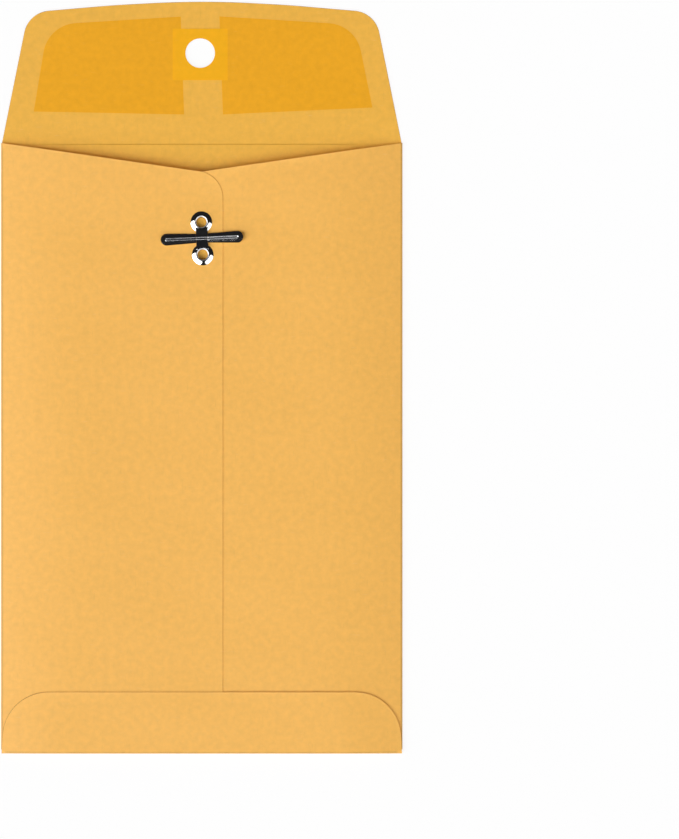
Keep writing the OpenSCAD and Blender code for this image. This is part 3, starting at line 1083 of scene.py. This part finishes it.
def hole_patch():
    low, high = node_box("hole_patch")
    piece = lay_sheet(
        "hole_patch",
        [rectangle(low, high), hole_outline()],
        spread(low[0], high[0], PATCH_STEP),
        spread(low[1], high[1], PATCH_STEP),
        raised(flap_surface, (paper_t + patch_t) / 2),
        patch_t,
        [patch_paper] * 3,
    )
    settle(piece, "flap", "patch_paper", "hole_patch")


# Clasp: an arched bar with a beaded flute, which bends at two lines, on two eyelets

arch_tip_r = (tip_r ** 2 + PRONG_RISE ** 2) / (2 * PRONG_RISE)
arch_w = PRONG_LIFT + PRONG_RISE - arch_tip_r
arch_root_r = bend_w - arch_w
crown_r0 = EYELET_ID / 2 + LIP_R
rim_w = EYELET_OD / 2 - crown_r0
neck_top = RIM_H + NECK_STEP

# Steps of the clasp's grids and arcs
BAR_STEP = 0.2
BRIDGE_STEP = 0.15
ACROSS_STEP = 0.07
EDGE_STEP = 0.2
TIP_STEPS = 49
FILLET_STEPS = 12
NECK_END_STEPS = 16
RIM_STEPS = 24
LIP_STEPS = 14
CLINCH_STEPS = 14
INSIDE_STEPS = 10
EYELET_SEGMENTS = 128


def off_line(u, v):
    """Distance from the bar's middle line, which ends where the tips' rounds are centred."""
    return np.hypot(v, np.clip(np.abs(u) - tip_u, 0, None))


def flute(u, v):
    """Depth of the round groove along the crown, which ends as a ball does."""
    circle_h = np.sqrt(np.clip(FLUTE_R ** 2 - off_line(u, v) ** 2, 0, None))
    return np.clip(circle_h - FLUTE_R + FLUTE_DEPTH, 0, None)


def bead(u, v):
    """Height of the fine bead on each side of the flute."""
    return BEAD_H * np.exp(-((off_line(u, v) - BEAD_AT) / BEAD_HALF) ** 2)


def bar_height(u, v):
    """Top of the bar's sheet above the paper: arched across, with the beaded flute along its crown."""
    arch_r = np.interp(np.abs(u), [bend_u, tip_u], [arch_root_r, arch_tip_r])
    arch = arch_w + np.sqrt(np.clip(arch_r ** 2 - v ** 2, LEAST_ARCH ** 2, None))
    return arch + bead(u, v) - flute(u, v)


def clasp_surface(height, thick):
    """A sheet of tinplate whose top is a height over the clasp's own frame."""
    local = height_surface(height)

    def surface(u, v):
        point, normal = local(u, v)
        point = point - normal * thick / 2
        return point @ clasp_turn + clasp_centre, normal @ clasp_turn

    return surface


def prong_outline():
    """A prong along +U: wider towards its round tip."""
    root = bend_u + BEND_GAP
    root_half = PRONG_ROOT_W / 2
    tip = arc_points((tip_u, 0), tip_r, -90, 90, TIP_STEPS)
    return np.concatenate([[(root, root_half), (root, -root_half)], tip])


def prong(name, side):
    outline = prong_outline()
    if side < 0:
        outline = mirrored(outline)
    piece = lay_sheet(
        name,
        [outline],
        np.sort(side * spread(bend_u, CLASP_SPAN / 2, BAR_STEP)),
        spread(-tip_r, tip_r, ACROSS_STEP),
        clasp_surface(bar_height, TIN_T),
        TIN_T,
        [tin] * 3,
        step=EDGE_STEP,
    )
    settle(piece, name, "tinplate", name)


def bridge_height(u, v):
    """Top of the bridge: the bar runs on across it, between necks that rise to the eyelets."""
    bar = bar_height(np.full_like(u, bend_u), v)
    neck = neck_top - NECK_DIP * (1 - smooth(*NECK_DIP_SPAN, np.abs(v)))
    return (bar + neck + np.sqrt((bar - neck) ** 2 + NECK_BLEND ** 2)) / 2


def bridge_outline():
    """The bridge and its necks, which flare onto the eyelets' rims."""
    dome_edge_r = crown_r0 + rim_w * ((BRIDGE_T - NECK_STEP) / RIM_H) ** (1 / RIM_POWER) - NECK_SINK
    fillet_u = bend_u + NECK_FILLET
    reach = math.sqrt((dome_edge_r + NECK_FILLET) ** 2 - fillet_u ** 2)
    fillet_v = eyelet_v - reach
    meet = math.degrees(math.atan2(reach, -fillet_u))
    fillet = arc_points((fillet_u, fillet_v), NECK_FILLET, 180, meet, FILLET_STEPS)
    end_r = crown_r0 + TIN_T / 2
    lean = math.degrees(math.acos((eyelet_v - fillet[-1][1]) / end_r))
    end = arc_points((0, eyelet_v), end_r, -90 + lean, -90, NECK_END_STEPS)
    quarter = np.concatenate([[(bend_u, 0)], fillet, end[:-1]])
    upper = np.concatenate([quarter, end[-1:], (quarter * [-1, 1])[:0:-1]])
    return np.concatenate([upper, [(-bend_u, 0)], upper[1:] * [-1, -1]])


def rim_points(width, height):
    """Section of an eyelet's bevelled rim, from its foot up to its lip."""
    s = np.linspace(1, 0, RIM_STEPS)
    return np.stack([crown_r0 + width * s, height * (1 - s ** RIM_POWER)], axis=1)


def eyelet_profile():
    """Section of one eyelet, from its foot over rim, lip and barrel to the clinch, and back inside."""
    stack = paper_t * 2 + glue_t
    lip_at = (crown_r0, RIM_H - LIP_R)
    clinch_at = (EYELET_ID / 2 + CLINCH_H, -stack)
    return np.concatenate([
        rim_points(rim_w, RIM_H),
        arc_points(lip_at, LIP_R, 90, 180, LIP_STEPS)[1:],
        arc_points(clinch_at, CLINCH_H, 180, 360, CLINCH_STEPS),
        arc_points(clinch_at, CLINCH_H - TIN_T, 360, 180, INSIDE_STEPS),
        arc_points(lip_at, LIP_R - TIN_T, 180, 90, INSIDE_STEPS),
        rim_points(rim_w - TIN_T, RIM_H - TIN_T)[-2::-1],
    ])


def ring_mesh(profile):
    """A section turned about the W axis."""
    angles = np.linspace(0, 2 * math.pi, EYELET_SEGMENTS, endpoint=False)
    vertices = np.array([(r * math.cos(a), r * math.sin(a), w) for a in angles for r, w in profile])
    size = len(profile)
    faces = []
    for i in range(EYELET_SEGMENTS):
        here, there = i * size, (i + 1) % EYELET_SEGMENTS * size
        for k in range(size):
            after = (k + 1) % size
            faces.append((here + k, there + k, there + after, here + after))
    return vertices, faces


def eyelet(name, side):
    """An eyelet of bright tinplate, with wear on its lip and barrel."""
    profile = eyelet_profile()
    vertices, faces = ring_mesh(profile)
    vertices[:, 1] += side * eyelet_v
    placed = (vertices @ clasp_turn + clasp_centre) * MM
    mesh = bpy.data.meshes.new(name)
    mesh.from_pydata(placed.tolist(), [], faces)
    mesh.polygons.foreach_set("use_smooth", np.ones(len(faces), bool))
    step = np.arange(len(faces)) % len(profile)
    wear_and_fold_shade = (step >= RIM_STEPS) & (step < RIM_STEPS + LIP_STEPS)
    mesh.polygons.foreach_set("material_index", wear_and_fold_shade.astype(np.int32))
    keep_flat_places(mesh, vertices[:, :2])
    mesh.materials.append(tin)
    mesh.materials.append(worn_tin)
    mesh.update()
    piece = new_object(name, mesh)
    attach(piece, "pocket")


def clasp_base():
    piece = lay_sheet(
        "clasp_bridge",
        [bridge_outline()],
        spread(-bend_u - NECK_FILLET, bend_u + NECK_FILLET, BRIDGE_STEP),
        spread(-eyelet_v, eyelet_v, ACROSS_STEP),
        clasp_surface(bridge_height, BRIDGE_T),
        BRIDGE_T,
        [tin] * 3,
        step=EDGE_STEP,
    )
    settle(piece, "pocket", "tinplate", "clasp_base")
    eyelet("upper_eyelet", 1)
    eyelet("lower_eyelet", -1)


front_panel()
left_back_panel()
right_back_panel()
bottom_flap()
seam_glue()
bottom_glue()
closure_flap()
gum("left_gum", -1, GUM_LOW_LEFT, GUM_LEFT_INSET)
gum("right_gum", 1, GUM_LOW_RIGHT)
hole_patch()
clasp_base()
prong("left_prong", -1)
prong("right_prong", 1)


# Stage: floor, light and camera, with the floor's size and the camera's reach in metres

FLOOR_SIZE = 20
FLOOR_DROP = 0.02 * MM
CAMERA_REACH = 100
FLOOR_COLOUR = (0.97, 0.97, 0.97)
FLOOR_ROUGHNESS = 0.9
FLOOR_GLOW_SHARE = 0.8
KEY = {"azimuth": 214, "elevation": 34, "angle": 76, "strength": 4.08}
SECOND = {"azimuth": 322, "elevation": 31, "angle": 63, "strength": 1.45}
HORIZON_LEVEL = 0.25
CEILING_LEVEL = 0.015
WALL_TOP = 0.1


def floor_material():
    """A pale floor that takes shadows, and glows where it is seen so that it comes out white."""
    material, tree, shader = new_material("floor")
    shader.inputs["Base Color"].default_value = (*FLOOR_COLOUR, 1)
    shader.inputs["Roughness"].default_value = FLOOR_ROUGHNESS
    shader.inputs["Specular IOR Level"].default_value = 0
    glow = add(tree, "ShaderNodeEmission", {"Color": (1, 1, 1, 1), "Strength": 1})
    path = add(tree, "ShaderNodeLightPath").outputs
    reflected = larger(tree, path["Is Glossy Ray"], path["Is Transmission Ray"])
    share = add(tree, "ShaderNodeMath", {1: FLOOR_GLOW_SHARE}, operation="MULTIPLY")
    tree.links.new(larger(tree, path["Is Camera Ray"], reflected), share.inputs[0])
    show_mixed(tree, share.outputs[0], shader, glow)
    return material


def floor():
    half = FLOOR_SIZE / 2
    mesh = bpy.data.meshes.new("floor")
    corners = rectangle((-half, -half), (half, half))
    mesh.from_pydata([(x, y, -FLOOR_DROP) for x, y in corners.tolist()], [], [(0, 1, 2, 3)])
    mesh.materials.append(floor_material())
    new_object("floor", mesh)


def soft_sun(name, azimuth, elevation, angle, strength):
    """A wide soft light from an azimuth, counted from +X towards +Y, and an elevation."""
    lamp = bpy.data.lights.new(name, "SUN")
    lamp.energy = strength
    lamp.angle = math.radians(angle)
    a, e = math.radians(azimuth), math.radians(elevation)
    towards = Vector((math.cos(a) * math.cos(e), math.sin(a) * math.cos(e), math.sin(e)))
    light = new_object(name, lamp)
    light.rotation_euler = towards.to_track_quat("Z", "Y").to_euler()


def world():
    """A studio with pale walls low down and a dark ceiling."""
    made = bpy.data.worlds.new("studio")
    bpy.context.scene.world = made
    made.use_nodes = True
    tree = made.node_tree
    direction = add(tree, "ShaderNodeTexCoord")
    parts = add(tree, "ShaderNodeSeparateXYZ")
    tree.links.new(direction.outputs["Generated"], parts.inputs[0])
    level = ramp(tree, parts.outputs["Z"], 0, WALL_TOP, HORIZON_LEVEL, CEILING_LEVEL)
    tree.links.new(level, tree.nodes["Background"].inputs["Strength"])
    tree.nodes["Background"].inputs["Color"].default_value = (1, 1, 1, 1)


def camera():
    """Straight down, over the middle of the photograph's frame."""
    mm_per_px = 2 * half_w / POCKET_WIDTH_PX
    x = (PHOTO_W_PX / 2 - POCKET_CENTRE_PX[0]) * mm_per_px
    y = (POCKET_CENTRE_PX[1] - PHOTO_H_PX / 2) * mm_per_px
    frame_h = PHOTO_H_PX * mm_per_px
    lens = bpy.data.cameras.new("camera")
    lens.sensor_fit = "VERTICAL"
    lens.sensor_height = SENSOR_MM
    lens.lens = LENS_MM
    lens.clip_end = CAMERA_REACH
    view = new_object("camera", lens)
    view.location = Vector((x, y, frame_h * LENS_MM / SENSOR_MM)) * MM
    bpy.context.scene.camera = view


floor()
soft_sun("key", **KEY)
soft_sun("second", **SECOND)
world()
camera()
bpy.context.scene.view_settings.view_transform = "Standard"

bpy.context.view_layer.update()
